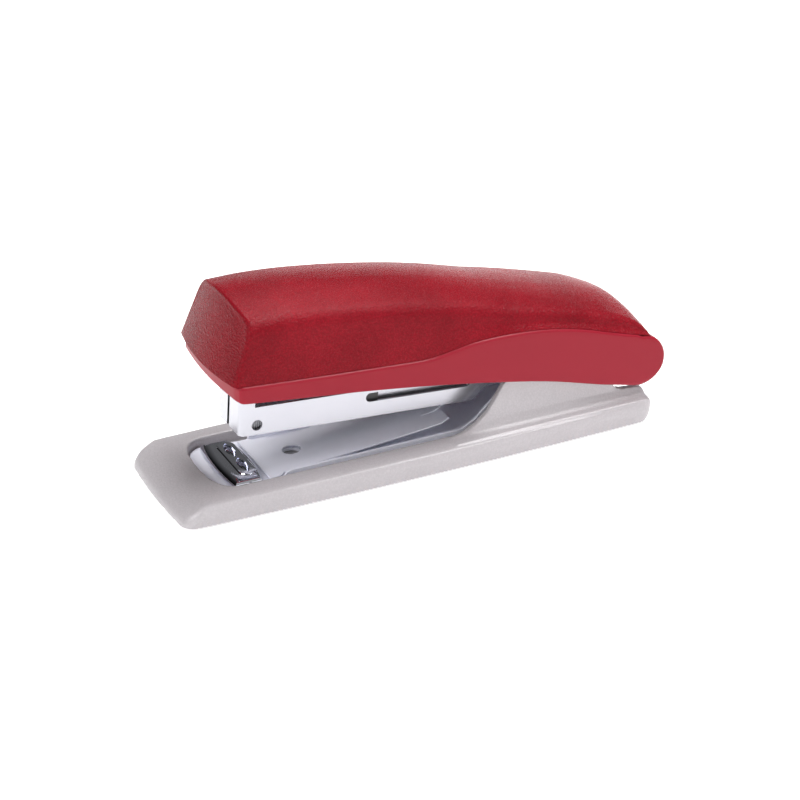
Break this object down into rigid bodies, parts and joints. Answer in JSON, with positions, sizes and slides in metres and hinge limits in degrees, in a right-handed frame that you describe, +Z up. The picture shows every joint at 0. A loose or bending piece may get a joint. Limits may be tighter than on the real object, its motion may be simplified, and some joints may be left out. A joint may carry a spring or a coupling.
{
  "type": "stapler",
  "caption": "Half-strip desktop stapler: long low base with anvil, slotted steel magazine and an arched two-part handle on one rear hinge pin.",
  "frame": {"origin": "middle of the whole stapler's plan outline, on the table under the feet", "axes": "+X from the anvil end towards the hinge, +Y across, +Z up; the XZ plane is the plane of symmetry"},
  "size_m": [0.1346, 0.0398, 0.051],
  "materials": {
    "base_plastic": "fine moulded grain, light warm grey",
    "shell_plastic": "fine leather grain, dark red",
    "frame_plastic": "smooth satin, red",
    "foot_rubber": "matt black",
    "plated_steel": "bright nickel plating",
    "polished_steel": "polished, bright",
    "spring_steel": "smooth blued grey",
    "pusher_nylon": "matt black",
    "staple_wire": "galvanised wire"
  },
  "bodies": {
    "base": {"base_shell": "base_plastic", "foot_front_right": "foot_rubber", "foot_front_left": "foot_rubber", "foot_rear_right": "foot_rubber", "foot_rear_left": "foot_rubber", "base_plate": "polished_steel", "anvil_block": "polished_steel", "anvil_rivet_right": "polished_steel", "anvil_rivet_left": "polished_steel", "return_leaf": "polished_steel", "hinge_pin": "plated_steel", "hinge_spacer_left": "plated_steel", "hinge_spacer_right": "plated_steel"},
    "magazine": {"magazine_channel": "plated_steel", "staple_rail": "plated_steel", "rail_rivet": "plated_steel", "guide_rod": "spring_steel", "pusher_spring": "spring_steel", "staple_strip": "staple_wire", "hinge_bush": "plated_steel"},
    "pusher": {"pusher": "pusher_nylon"},
    "handle": {"top_shell": "shell_plastic", "handle_frame": "frame_plastic", "handle_bracket": "plated_steel", "driver_blade": "spring_steel", "blade_rivet": "plated_steel", "lift_spring": "spring_steel", "lift_spring_rivet": "plated_steel"}
  },
  "joints": [
    {"name": "magazine_hinge", "type": "hinge", "parent": "base", "child": "magazine", "pos_m": [0.0599, 0, 0.0175], "axis": [0, 1, 0], "range_deg": [-5, 0], "stiffness_Nm_per_rad": 0.35, "springref_deg": 14.32, "deforming": ["return_leaf"]},
    {"name": "handle_hinge", "type": "hinge", "parent": "magazine", "child": "handle", "pos_m": [0.0599, 0, 0.0175], "axis": [0, 1, 0], "range_deg": [-4.8, 85], "stiffness_Nm_per_rad": 0.25, "springref_deg": 5.73, "deforming": ["lift_spring"]},
    {"name": "pusher_slide", "type": "slide", "parent": "magazine", "child": "pusher", "axis": [0.9978, 0, -0.0663], "range_m": [0, 0.014], "stiffness_N_per_m": 60, "springref_m": -0.02, "deforming": ["pusher_spring"]}
  ]
}
